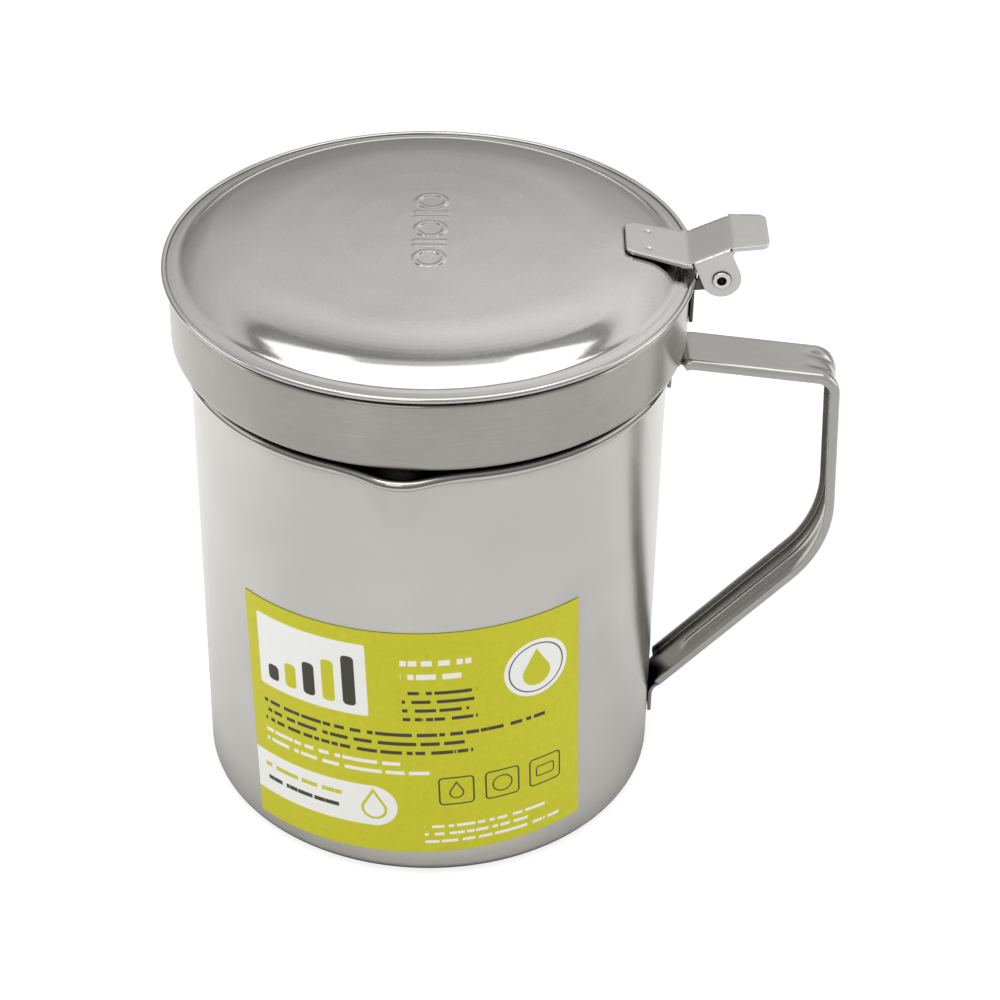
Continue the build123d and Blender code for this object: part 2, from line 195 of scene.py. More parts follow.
def tangent_arc(start, direction, end, step=3.0):
    """Points of the arc that leaves start along direction and ends at end, without start."""
    start, end = Vector(start), Vector(end)
    d = Vector(direction).normalized()
    n = Vector((-d.y, d.x))
    chord = end - start
    side = chord.dot(n)
    if abs(side) < 1e-9:
        return [end], d
    rho = chord.length_squared / (2 * side)
    centre = start + n * rho
    a0 = math.atan2(start.y - centre.y, start.x - centre.x)
    a1 = math.atan2(end.y - centre.y, end.x - centre.x)
    turn = (a1 - a0) % (2 * math.pi)
    if rho < 0:
        turn -= 2 * math.pi
    count = max(4, int(abs(math.degrees(turn)) / step) + 1)
    pts = []
    for k in range(1, count + 1):
        a = a0 + turn * k / count
        pts.append(Vector(on_circle(*centre, abs(rho), a)))
    sign = 1.0 if rho > 0 else -1.0
    last = pts[-1] - centre
    return pts, Vector((-last.y, last.x)).normalized() * sign


def offset_path(path, amount):
    """The path moved to the left of its direction by amount, point by point."""
    out = []
    for i, p in enumerate(path):
        a = path[max(0, i - 1)]
        b = path[min(len(path) - 1, i + 1)]
        d1 = (p - a) if i > 0 else (b - p)
        d2 = (b - p) if i < len(path) - 1 else (p - a)
        d1, d2 = d1.normalized(), d2.normalized()
        n1, n2 = Vector((-d1.y, d1.x)), Vector((-d2.y, d2.x))
        n = (n1 + n2).normalized()
        out.append(p + n * (amount / max(0.3, n.dot(n1))))
    return out


def refine(path, longest):
    """The path with no step longer than longest."""
    out = [path[0]]
    for a, b in zip(path, path[1:]):
        n = max(1, math.ceil((b - a).length / longest))
        for k in range(1, n + 1):
            out.append(a.lerp(b, k / n))
    return out


def sheet_loop(path, amount):
    """A closed loop around a sheet: the path, its parallel, and edges with small chamfers."""
    other = offset_path(path, amount)
    t0, t1 = path[0], path[-1]
    o0, o1 = other[0], other[-1]
    d0 = (path[0] - path[1]).normalized() * EDGE_ROUND
    d1 = (path[-1] - path[-2]).normalized() * EDGE_ROUND
    m0 = (o0 - t0).normalized() * EDGE_ROUND
    m1 = (o1 - t1).normalized() * EDGE_ROUND
    return ([t0 - d0] + path[1:-1] + [t1 - d1, t1 + m1, o1 - m1, o1 - d1]
            + other[-2:0:-1] + [o0 - d0, o0 - m0, t0 + m0])


def add_object(name, data):
    obj = bpy.data.objects.new(name, data)
    bpy.context.scene.collection.objects.link(obj)
    return obj


def make_mesh(name, verts, faces, smooth=True):
    """A mesh object from points in millimetres."""
    data = bpy.data.meshes.new(name)
    data.from_pydata([(x * MM, y * MM, z * MM) for x, y, z in verts], [], faces)
    data.validate()
    bm = bmesh.new()
    bm.from_mesh(data)
    bmesh.ops.remove_doubles(bm, verts=bm.verts, dist=1e-7)
    bmesh.ops.recalc_face_normals(bm, faces=bm.faces)
    bm.to_mesh(data)
    bm.free()
    for p in data.polygons:
        p.use_smooth = smooth
    return add_object(name, data)


def upright(r, a, z):
    """The point at a radius, an azimuth and a height."""
    return (r * math.cos(a), r * math.sin(a), z)


def revolve(name, loop, azimuths, closed=True, place=upright):
    """Revolves a loop of (radius, height) about Z. place may move its points."""
    verts, rings = [], []
    n = len(azimuths)
    for r, z in loop:
        if r < 1e-6:
            rings.append([len(verts)] * n)
            verts.append((0, 0, z))
        else:
            rings.append(list(range(len(verts), len(verts) + n)))
            verts += [place(r, a, z) for a in azimuths]
    faces = []
    for lo, hi in zip(rings, rings[1:] + (rings[:1] if closed else [])):
        for k in range(n):
            m = (k + 1) % n
            face = list(dict.fromkeys((lo[k], lo[m], hi[m], hi[k])))
            if len(face) >= 3:
                faces.append(face)
    return make_mesh(name, verts, faces)


def full_turn(count):
    return [2 * math.pi * k / count for k in range(count)]


def sharpen(obj, degrees=35.0):
    """Smooth shading that keeps edges sharper than an angle."""
    bm = bmesh.new()
    bm.from_mesh(obj.data)
    for e in bm.edges:
        e.smooth = not (len(e.link_faces) == 2 and e.calc_face_angle(0) > math.radians(degrees))
    bm.to_mesh(obj.data)
    bm.free()
    return obj


# ---- pot ----
def lip_outline(azimuth, outwards):
    """Radius of the rim's outline with its lip, moved outwards, at an azimuth in radians."""
    nose_at = POT_RADIUS + LIP_REACH - LIP_NOSE
    blend_at = POT_RADIUS + LIP_BLEND
    between = LIP_NOSE + LIP_BLEND
    half = math.acos((blend_at**2 + nose_at**2 - between**2) / (2 * blend_at * nose_at))
    d = abs((azimuth - math.radians(LIP_AZIMUTH) + math.pi) % (2 * math.pi) - math.pi)
    if d >= half:
        return POT_RADIUS + outwards
    nose_r = LIP_NOSE + outwards
    # where the nose's arc meets the sweep's
    bx, by = blend_at * math.cos(half), blend_at * math.sin(half)
    dx, dy = bx - nose_at, by
    length = math.hypot(dx, dy)
    jx, jy = nose_at + dx / length * nose_r, dy / length * nose_r
    if d <= math.atan2(jy, jx):
        return nose_at * math.cos(d) + math.sqrt(nose_r**2 - (nose_at * math.sin(d)) ** 2)
    blend_r = LIP_BLEND - outwards
    e = half - d
    return blend_at * math.cos(e) - math.sqrt(blend_r**2 - (blend_at * math.sin(e)) ** 2)


def pot_place(r, a, z):
    """Puts a point of the pot's wall or rim on the drawn-out lip."""
    out = r - POT_RADIUS
    taper = max(0.0, RIM_HEIGHT - z) * LIP_REACH / LIP_DEPTH
    if out < -3 or taper > LIP_REACH + 1.5:
        return upright(r, a, z)
    lip = lip_outline(a, out - taper)
    blend = 0.8
    gap = (r - lip) / blend
    if gap > 1:
        grown = r
    elif gap < -1:
        grown = lip
    else:
        grown = max(r, lip) + blend * (1 - abs(gap)) ** 2 / 4
    if taper < 0.5:
        share = taper / 0.5
        grown = lip * (1 - share) + grown * share
    return upright(grown, a, z)


def pot_azimuths():
    """Even steps, with finer ones at the lip."""
    out = []
    a = -math.pi
    centre = math.radians(LIP_AZIMUTH)
    while a < math.pi - 1e-6:
        out.append(a)
        near = abs(a - centre) < math.radians(24)
        a += math.radians(0.5 if near else 1.5)
    return out


def pot_loop():
    """The pot's section, from the middle of its floor around the rim to the middle again."""
    fine_from, fine, coarse = 78, 0.75, 4.0
    roll_at = POT_RADIUS + RIM_OVERHANG
    a_out = math.acos(-RIM_OVERHANG / RIM_ROLL)
    inner = POT_RADIUS - POT_SHEET
    a_in = math.acos((inner - roll_at) / RIM_ROLL)
    loop = [Vector((0, 0))]
    loop += [Vector((r, 0)) for r in (10, 20, 30, 38)]
    loop += fillet_path([(40, 0), (45, 0), (45, 20)], [POT_BEND], 5)[:-1]
    z_join = RIM_HEIGHT - RIM_ROLL * math.sin(a_out)
    z = 6.0
    while z < z_join - 0.3:
        loop.append(Vector((POT_RADIUS, z)))
        z += coarse if z < fine_from else fine
    loop.append(Vector((POT_RADIUS, z_join)))
    count = 26
    for k in range(1, count + 1):
        a = -a_out + (a_out + a_in) * k / count
        loop.append(Vector(on_circle(roll_at, RIM_HEIGHT, RIM_ROLL, a)))
    z = loop[-1].y - fine
    while z > 6:
        loop.append(Vector((inner, z)))
        z -= fine if z > fine_from else coarse
    bend = fillet_path([(inner, 20), (inner, POT_SHEET), (38, POT_SHEET)],
                       [POT_BEND - POT_SHEET], 8)
    loop += bend[1:]
    loop += [Vector((r, POT_SHEET)) for r in (28, 14)]
    loop.append(Vector((0, POT_SHEET)))
    return loop


# ---- handle ----
def smooth(value, start, end):
    """0 before start, 1 after end, and an even sweep between."""
    t = min(1.0, max(0.0, (value - start) / (end - start)))
    return t * t * (3 - 2 * t)


def strap_section(fold, groove, dent):
    """The strap's section as (across, outwards) points.

    fold is 0 on the flat tabs and 1 where the edges are folded in. groove and dent are the depths
    of the pressed groove and of the two valleys beside its middle at the knuckle.
    """
    half = STRAP_HALF - STRAP_FOLD * (1 - fold)
    depth = STRAP_SHEET + 0.02 + (STRAP_FLANGE - STRAP_SHEET) * fold
    outer = 0.2 + (STRAP_FOLD - 0.2) * fold
    inner = max(0.02, outer - STRAP_SHEET)
    edge = 0.1 * fold + 0.01

    def pressed(y):
        a = abs(y)
        g = groove * max(0.0, 1 - (a / GROOVE_HALF) ** 2) ** 2
        return g + dent * math.exp(-(((a - 1.9) / 0.95) ** 2)) * smooth(4.4 - a, 0.0, 1.2)

    def corner(centre_y, centre_o, radius, start, end):
        return [on_circle(centre_y, centre_o, radius, math.radians(start + (end - start) * k / 6))
                for k in range(7)]

    loop = [(-half + edge, -depth), (-half, -depth + edge)]
    loop += corner(-half + outer, -outer, outer, 180, 90)
    web = half - outer
    count = 26
    for k in range(1, count):
        y = -web + 2 * web * k / count
        loop.append((y, -pressed(y)))
    loop += corner(half - outer, -outer, outer, 90, 0)
    loop += [(half, -depth + edge), (half - edge, -depth)]
    leg = half - STRAP_SHEET
    loop += [(leg + edge, -depth), (leg, -depth + edge)]
    loop += corner(leg - inner, -STRAP_SHEET - inner, inner, 0, 90)
    web = leg - inner
    for k in range(1, count):
        y = web - 2 * web * k / count
        loop.append((y, -STRAP_SHEET - pressed(y)))
    loop += corner(-leg + inner, -STRAP_SHEET - inner, inner, 90, 180)
    loop += [(-leg, -depth + edge), (-leg - edge, -depth)]
    return loop


def strap():
    """The handle: the section swept along the strap's outer face, tab to tab."""
    root = POT_RADIUS + WELD_GAP
    corners = [(root, STRAP_TOP - STRAP_TAB_UP), (root, STRAP_TOP),
               STRAP_KNUCKLE, STRAP_HEEL, STRAP_FOOT,
               (STRAP_FOOT[0], STRAP_FOOT[1] - STRAP_TAB_DOWN)]
    path = refine(fillet_path(corners, STRAP_BENDS, 3), 0.5)
    knuckle_at = Vector(STRAP_KNUCKLE)
    verts, faces = [], []
    for i, p in enumerate(path):
        t = (path[min(i + 1, len(path) - 1)] - path[max(i - 1, 0)]).normalized()
        n = Vector((-t.y, t.x))
        out = p.x - POT_RADIUS
        low = p.y < STRAP_HEEL[1]
        start = FOLD_FROM_WALL_FOOT if low else FOLD_FROM_WALL_TOP
        fold = smooth(out, start - 0.35, start + 0.35)
        near = (p - knuckle_at).length
        dent = KNUCKLE_DENT * smooth(7.5 - near, 0.0, 5.5)
        if low:
            groove = GROOVE_DEPTH * smooth(out, GROOVE_END_OUT, GROOVE_END_OUT + 2.5)
        else:
            groove = GROOVE_DEPTH * smooth(out, GROOVE_START_OUT, GROOVE_START_OUT + 4.5)
        loop = strap_section(fold, groove, dent)
        count = len(loop)
        verts += [(p.x + n.x * o, y, p.y + n.y * o) for y, o in loop]
    for i in range(len(path) - 1):
        for k in range(count):
            m = (k + 1) % count
            a, b = i * count, (i + 1) * count
            faces.append([a + k, a + m, b + m, b + k])
    faces.append(list(range(count)))
    last = (len(path) - 1) * count
    faces.append([last + k for k in reversed(range(count))])
    return make_mesh("strap_handle", verts, faces)


# ---- label ----
def label_sheet():
    """The paper label: a tilted rectangle wrapped on the wall, with its flat size as UV in mm."""
    across, up = 120, 60
    edge = 0.03
    cos_t, sin_t = math.cos(LABEL_TILT), math.sin(LABEL_TILT)
    verts, faces = [], []
    inner, outer = LABEL_RADIUS, LABEL_RADIUS + LABEL_PAPER
    for radius in (outer, inner):
        for j in range(up + 1):
            for i in range(across + 1):
                u = LABEL_WIDTH * (i / across - 0.5)
                v = LABEL_HEIGHT * (j / up - 0.5)
                s = u * cos_t - v * sin_t
                h = u * sin_t + v * cos_t
                a = math.radians(LABEL_AZIMUTH) + s / POT_RADIUS
                verts.append((radius * math.cos(a), radius * math.sin(a), LABEL_MIDDLE + h))
    row = across + 1
    size = row * (up + 1)
    for j in range(up):
        for i in range(across):
            a = j * row + i
            faces.append([a, a + 1, a + row + 1, a + row])
            b = size + a
            faces.append([b, b + row, b + row + 1, b + 1])
    rim = list(range(across)) + [j * row + across for j in range(up)]
    rim += [up * row + i for i in range(across, 0, -1)] + [j * row for j in range(up, 0, -1)]
    for a, b in zip(rim, rim[1:] + rim[:1]):
        faces.append([b, a, size + a, size + b])
    obj = make_mesh("paper_label", verts, faces)
    uv = obj.data.uv_layers.new(name="flat")
    for loop in obj.data.loops:
        co = obj.data.vertices[loop.vertex_index].co
        a = math.atan2(co.y, co.x) - math.radians(LABEL_AZIMUTH)
        a = (a + math.pi) % (2 * math.pi) - math.pi
        s, h = a * POT_RADIUS, co.z / MM - LABEL_MIDDLE
        u, v = s * cos_t + h * sin_t, h * cos_t - s * sin_t
        uv.data[loop.index].uv = (u / LABEL_WIDTH + 0.5, v / LABEL_WIDTH + 0.5)
    return obj


# ---- collar and lid ----
def collar_loop():
    """The collar's section: top edge, wall, shoulder and neck."""
    corner = SHOULDER_CORNER - (COLLAR_RADIUS - NECK_RADIUS) * math.tan(SHOULDER_SLOPE)
    top = COLLAR_TOP - COLLAR_TOP_DROP
    path = fillet_path(
        [(COLLAR_RADIUS - COLLAR_LIP, top), (COLLAR_RADIUS, top),
         (COLLAR_RADIUS, SHOULDER_CORNER), (NECK_RADIUS, corner),
         (NECK_RADIUS, corner - COLLAR_BENDS[2] - NECK_DEPTH)],
        COLLAR_BENDS, 6)
    return sheet_loop(refine(path, 1.5), -COLLAR_SHEET)


def mark_height(x, y):
    """Height of the mark pressed up in the middle of the lid: rings and cross bars in a row."""
    y -= MARK_MIDDLE
    nearest = 9.0
    for ring_y in (-10.6, 0.0, 10.6):
        nearest = min(nearest, abs(math.hypot(x, y - ring_y) - 2.6))
    for bar_y in (-6.2, -4.4, 4.4, 6.2):
        nearest = min(nearest, math.hypot(max(0.0, abs(x) - 2.7), y - bar_y))
    return MARK_RISE * (1 - smooth(nearest, 0.15, 0.75))


def lid_place(r, a, z):
    """Raises the mark on the lid's top face."""
    x, y = r * math.cos(a), r * math.sin(a)
    if z > DOME_TOP - 1.2 and r < MARK_REACH:
        z += mark_height(x - MARK_ACROSS, y)
    return (x, y, z)


def hem_bend(middle_x, radius):
    """Quarter turn where the roll's inner end turns down to the lid's seat."""
    middle = Vector((middle_x, LID_BOTTOM + 0.25))
    return [middle + Vector((-radius * math.cos(t), radius * math.sin(t)))
            for t in (math.radians(15 * k) for k in range(6, -1, -1))]


def dome_path():
    """The lid's outer face from its middle to the ring, which falls below the roll's top."""
    stops = [Vector((LID_RADIUS - HEM_RADIUS - FLANGE_WIDTH, HEM_TOP))]
    for run, rise in DOME_RUNS:
        stops.append(stops[-1] + Vector((-run, rise)))
    stops[0] += Vector((0.3, -RING_DROPS[0]))
    path = [Vector((0, DOME_TOP))]
    direction = Vector((1, 0))
    for p in reversed(stops):
        pts, direction = tangent_arc(path[-1], direction, p, 1.5)
        path += pts
    return path


def thinned(path, near, far):
    """The path without points closer than near inside the mark, and than far outside it."""
    kept = [path[0]]
    for p in path[1:-1]:
        if (p - kept[-1]).length > (near if p.x < MARK_REACH else far):
            kept.append(p)
    return kept + [path[-1]]


def lid_loop():
    """The lid's section: its outer face, the roll with its turned-down end, and the inner face."""
    dome = refine(dome_path(), 0.16)
    ring = HEM_TOP - RING_DROPS[1]
    roll = Vector((LID_RADIUS - HEM_RADIUS, HEM_TOP - HEM_RADIUS))
    leg = roll.x - HEM_LEG
    outer = thinned(dome, 0.15, 0.3)
    outer += refine([outer[-1], Vector((roll.x - 0.47, ring))], 0.4)[1:]
    for k in range(24):
        t = math.radians(136 - (136 + 90) * k / 23)
        outer.append(Vector(on_circle(*roll, HEM_RADIUS, t)))
    outer += hem_bend(leg + HEM_TURN, HEM_TURN) + [Vector((leg, LID_BOTTOM))]
    inner = offset_path(thinned(dome, 0.3, 0.8), -LID_SHEET)
    inner += [Vector(p) for p in ((dome[-1].x + 0.4, ring - HEM_WALL),
                                  (roll.x - 0.05, ring - HEM_WALL),
                                  (roll.x - 0.05, HEM_BOTTOM + HEM_WALL))]
    inner += hem_bend(leg + HEM_TURN, HEM_TURN + HEM_WALL) + [Vector((leg - HEM_WALL, LID_BOTTOM))]
    return outer + list(reversed(inner))


# ---- bent sheet ----
def hull(points):
    """Convex hull, counterclockwise from the leftmost point."""
    pts = sorted((round(x, 6), round(y, 6)) for x, y in points)
    halves = []
    for run in (pts, list(reversed(pts))):
        half = []
        for p in run:
            while len(half) > 1 and ((half[-1][0] - half[-2][0]) * (p[1] - half[-2][1])
                                     <= (half[-1][1] - half[-2][1]) * (p[0] - half[-2][0])):
                half.pop()
            half.append(p)
        halves += half[:-1]
    return halves


def round_of(x, y, radius, count=72):
    return [on_circle(x, y, radius, 2 * math.pi * k / count) for k in range(count)]


def inside_loop(p, loop):
    hit = False
    for a, b in zip(loop, loop[1:] + loop[:1]):
        if (a[1] > p[1]) != (b[1] > p[1]):
            if p[0] < a[0] + (p[1] - a[1]) * (b[0] - a[0]) / (b[1] - a[1]):
                hit = not hit
    return hit


def bent_sheet(name, outline, holes, inner_points, sheet, place):
    """A sheet with rounded edges, from its flat pattern.

    outline is a closed counterclockwise path, holes are (x, y, radius), inner_points are wanted
    points of the flat faces, and place(x, y, depth) bends a point of the pattern into space.
    """
    outline = refine(outline, 0.3)[:-1]

    def inset(amount):
        return [tuple(p) for p in closed_offset(outline, amount)]

    def ring_of(hole, amount):
        x, y, radius = hole
        return list(reversed(round_of(x, y, radius + amount, 48)))

    margin = EDGE_ROUND + 0.14
    loops = [inset(EDGE_ROUND)] + [ring_of(h, EDGE_ROUND) for h in holes]
    flat = [p for loop in loops for p in loop]
    border = []
    start = 0
    for loop in loops:
        border += [(start + k, start + (k + 1) % len(loop)) for k in range(len(loop))]
        start += len(loop)
    clear = inset(margin)
    wanted = [p for p in inner_points if inside_loop(p, clear)
              and all(math.hypot(p[0] - x, p[1] - y) > r + margin for x, y, r in holes)]
    points = [Vector(p) for p in flat + wanted]
    out_points, _, triangles, origins, _, _ = delaunay_2d_cdt(points, border, [], 0, 1e-6, True)
    place_of = {o: k for k, origin in enumerate(origins) for o in origin}
    kept = []
    for tri in triangles:
        middle = sum((out_points[v] for v in tri), Vector((0, 0))) / 3
        if inside_loop(middle, loops[0]) and all(
                (middle - Vector((x, y))).length > r + EDGE_ROUND for x, y, r in holes):
            kept.append(tri)
    verts = [place(p.x, p.y, 0.0) for p in out_points]
    count = len(verts)
    verts += [place(p.x, p.y, sheet) for p in out_points]
    faces = [list(t) for t in kept] + [[v + count for v in reversed(t)] for t in kept]
    quarter = [math.radians(30 * k) for k in range(1, 4)]
    edge = [(EDGE_ROUND * (1 - math.sin(t)), EDGE_ROUND * (1 - math.cos(t))) for t in quarter]
    edge += [(i, sheet - d) for i, d in reversed(edge)]
    start = 0
    for which, loop in enumerate(loops):
        rows = [[place_of[start + k] for k in range(len(loop))]]
        for amount, depth in edge:
            ring = inset(amount) if which == 0 else ring_of(holes[which - 1], amount)
            rows.append(list(range(len(verts), len(verts) + len(ring))))
            verts += [place(x, y, depth) for x, y in ring]
        rows.append([v + count for v in rows[0]])
        for upper, lower in zip(rows, rows[1:]):
            for k in range(len(loop)):
                m = (k + 1) % len(loop)
                faces.append([upper[k], lower[k], lower[m], upper[m]])
        start += len(loop)
    used = sorted({v for face in faces for v in face})
    number = {v: k for k, v in enumerate(used)}
    return make_mesh(name, [verts[v] for v in used], [[number[v] for v in f] for f in faces])


def closed_offset(loop, amount):
    """A closed loop moved to the left of its direction by amount."""
    around = [loop[-1]] + list(loop) + [loop[0]]
    return offset_path(around, amount)[1:-1]


def grid(us, vs):
    return [(u, v) for u in us for v in vs]


def steps(start, end, longest):
    count = max(1, math.ceil((end - start) / longest))
    return [start + (end - start) * k / count for k in range(count + 1)]


# ---- lever and bracket ----
def lever():
    """The thumb lever: a bent plate with two ears folded down around the pin."""
    corners = [Vector(p) for p in (LEVER_INNER, LEVER_LOW, LEVER_HIGH, LEVER_TIP)]
    path = fillet_path(corners, [LEVER_BEND, LEVER_BEND], 5)
    at = [0.0]
    for a, b in zip(path, path[1:]):
        at.append(at[-1] + (b - a).length)
    run = (corners[2] - corners[1]).normalized()
    up = Vector((-run.y, run.x))
    # where the straight middle run lies on the path
    middle = next(i for i in range(len(path) - 1)
                  if (path[i + 1] - path[i]).length > 1.0 and path[i].x > LEVER_LOW[0])
    low_at = at[middle] - (path[middle] - corners[1]).length
    high_at = at[middle + 1] + (corners[2] - path[middle + 1]).length
    pin = Vector(PIN) - corners[1]
    pin_u, pin_h = pin.dot(run), -pin.dot(up)
    width = LEVER_HALF
    fold_at = width - LEVER_FOLD
    bend = LEVER_FOLD * math.pi / 2

    def reach(x):
        return low_at + (PIN[0] + x - corners[1].x) / run.x

    def ear_v(depth):
        return fold_at + bend + depth - LEVER_FOLD

    start, end = reach(-EAR_INNER_REACH), reach(EAR_OUTER_REACH)
    pin_at = (low_at + pin_u, ear_v(pin_h))
    ear = hull(round_of(*pin_at, EAR_RADIUS) + [(start, fold_at), (end, fold_at)])
    first = ear.index((round(start, 6), round(fold_at, 6))) + 1
    ear = (ear[first:] + ear[:first])[::-1]
    if ear[0][0] > ear[-1][0]:
        ear.reverse()
    side = [((0.0, LEVER_INNER_HALF), LEVER_CORNER), ((low_at, width), 3.0),
            ((start - FOLD_NOTCH, width), 0.12), ((start - FOLD_NOTCH, fold_at), 0.1)]
    side += [(p, 0.0) for p in ear]
    side += [((end + FOLD_NOTCH, fold_at), 0.1), ((end + FOLD_NOTCH, width), 0.12),
             ((high_at, width), 3.0), ((at[-1], LEVER_TIP_HALF), LEVER_CORNER)]
    near = [((u, -v), r) for (u, v), r in side]
    loop = [((0.0, 0.0), 0.0)] + near + list(reversed(side)) + [((0.0, 0.0), 0.0)]
    outline = fillet_path([p for p, _ in loop], [r for _, r in loop[1:-1]], 12)

    inner_run = (corners[1] - corners[0]).normalized()
    dent_at = (PIN[0] - DIMPLE_REACH - corners[0].x) / inner_run.x

    def surface(u):
        """The point and the direction of the plate's outer face at a length along it."""
        i = max(k for k in range(len(at) - 1) if at[k] <= u + 1e-9 or k == 0)
        t = (u - at[i]) / (at[i + 1] - at[i])
        piece = path[i + 1] - path[i]
        here = piece.normalized()
        before = (path[i] - path[i - 1]).normalized() if i else here
        after = (path[i + 2] - path[i + 1]).normalized() if i + 2 < len(path) else here
        first, last = (here + before).normalized(), (here + after).normalized()
        tangent = first.lerp(last, min(1.0, max(0.0, t))).normalized()
        if piece.length > 0.5 or min(here.dot(first), here.dot(last)) > 0.9999:
            tangent = here
        return path[i].lerp(path[i + 1], t), tangent

    def place(u, v, depth):
        p, t = surface(u)
        n = Vector((-t.y, t.x))
        far = abs(v)
        sign = 1.0 if v > 0 else -1.0
        if depth < 0.01:
            for dent_v in (-DIMPLE_HALF, DIMPLE_HALF):
                near_dent = math.hypot(u - dent_at, v - dent_v)
                depth += DIMPLE_DEPTH * (1 - smooth(near_dent, 0.38, 0.66))
        down, across = depth, far
        if start - 0.2 < u < end + 0.2:
            turn = (far - fold_at) / LEVER_FOLD
            arm = LEVER_FOLD - depth
            if turn <= 0:
                across = min(far, width - depth)
            elif turn > math.pi / 2:
                down, across = max(depth, far - fold_at - bend + LEVER_FOLD), width - depth
            elif arm > 0:
                down, across = LEVER_FOLD - arm * math.cos(turn), fold_at + arm * math.sin(turn)
            else:
                across = width - depth
        q = p - n * down
        return (q.x, sign * across, q.y)

    us = at + [a + (b - a) * k / 8 for a, b in zip(at, at[1:]) if b - a > 1.0 for k in range(1, 8)]
    vs = steps(-fold_at, fold_at, 0.9) + [-width + 0.4, width - 0.4]
    inner = grid(us, vs)
    for sign in (-1, 1):
        fold_rows = [sign * (fold_at + bend * k / 7) for k in range(1, 8)]
        inner += grid(steps(start, end, 0.7), fold_rows)
        inner += grid(steps(start, end, 0.9),
                      [sign * v for v in steps(fold_at + bend + 0.5, fold_at + bend + 8, 0.8)])
    for dent_v in (-DIMPLE_HALF, DIMPLE_HALF):
        inner = [p for p in inner if math.hypot(p[0] - dent_at, p[1] - dent_v) > 1.0]
        for r in (0.1, 0.2, 0.3, 0.38, 0.46, 0.54, 0.62, 0.8):
            inner += round_of(dent_at, dent_v, r, 18)
    holes = [(pin_at[0], sign * pin_at[1], PIN_RADIUS + 0.05) for sign in (-1, 1)]
    return bent_sheet("lever", outline, holes, inner, LEVER_SHEET, place)


def bracket():
    """The bracket: a plate on the collar's wall with two ears for the pin."""
    plate = BRACKET_HALF - BRACKET_FOLD
    bend = BRACKET_FOLD * math.pi / 2
    root = plate + bend - BRACKET_BACK - BRACKET_FOLD

    def v_of(x):
        """Place in the flat pattern of a point of an ear, x from the pin."""
        return root + PIN[0] + x

    low = PIN[1] - BRACKET_EAR - BRACKET_FALL
    shape = [p for x, z in BRACKET_CORNERS for p in round_of(x, z, BRACKET_ROUND)]
    shape = hull(shape + round_of(0.0, 0.0, BRACKET_EAR))
    lowest = min(range(len(shape)), key=lambda k: shape[k][1])
    shape = shape[lowest:] + shape[:lowest]
    leave = next(k for k, p in enumerate(shape) if p[0] < -3.9 and p[1] < -0.44)
    ear = shape[:leave]
    # the lower edge falls from the round end to the plate
    side = [((plate, BRACKET_FOOT), 1.2), ((plate, low - 0.5), 0.3), ((plate + 0.3, low), 0.3)]
    side += [((v_of(x), PIN[1] + z), 0.0) for x, z in ear]
    side += [((v_of(BRACKET_ARM[0]), PIN[1] + BRACKET_ARM[1]), 0.2), ((plate, BRACKET_TOP), 0.0)]
    far = [((-v, z), r) for (v, z), r in reversed(side)]
    loop = [((0.0, BRACKET_FOOT), 0.0)] + side + far + [((0.0, BRACKET_FOOT), 0.0)]
    outline = fillet_path([p for p, _ in loop], [r for _, r in loop[1:-1]], 12)

    def place(v, z, depth):
        # the flat pattern's face is the side towards the pin's middle, so depth runs outwards
        off = BRACKET_SHEET - depth
        far_v = abs(v)
        sign = 1.0 if v > 0 else -1.0
        if far_v <= plate:
            return (BRACKET_BACK + off, v, z)
        turn = (far_v - plate) / BRACKET_FOLD
        arm = BRACKET_FOLD - off
        middle = BRACKET_BACK + BRACKET_FOLD
        if turn <= math.pi / 2:
            return (middle - arm * math.cos(turn), sign * (plate + arm * math.sin(turn)), z)
        return (middle + far_v - plate - bend, sign * (plate + arm), z)

    rows = steps(BRACKET_FOOT, PIN[1] + 3, 0.8)
    inner = grid(steps(-plate, plate, 0.9), rows)
    for sign in (-1, 1):
        inner += grid([sign * (plate + bend * k / 7) for k in range(1, 8)], rows)
        inner += grid([sign * v for v in steps(plate + bend + 0.6, plate + bend + 8, 0.8)], rows)
    holes = [(sign * v_of(0.0), PIN[1], PIN_RADIUS + 0.02) for sign in (-1, 1)]
    return bent_sheet("bracket", outline, holes, inner, BRACKET_SHEET, place)


# ---- materials ----
# Near-black colour towards which steel is mixed as painted shade in its creases.
CREASE_SHADE = (0.03, 0.028, 0.025, 1)


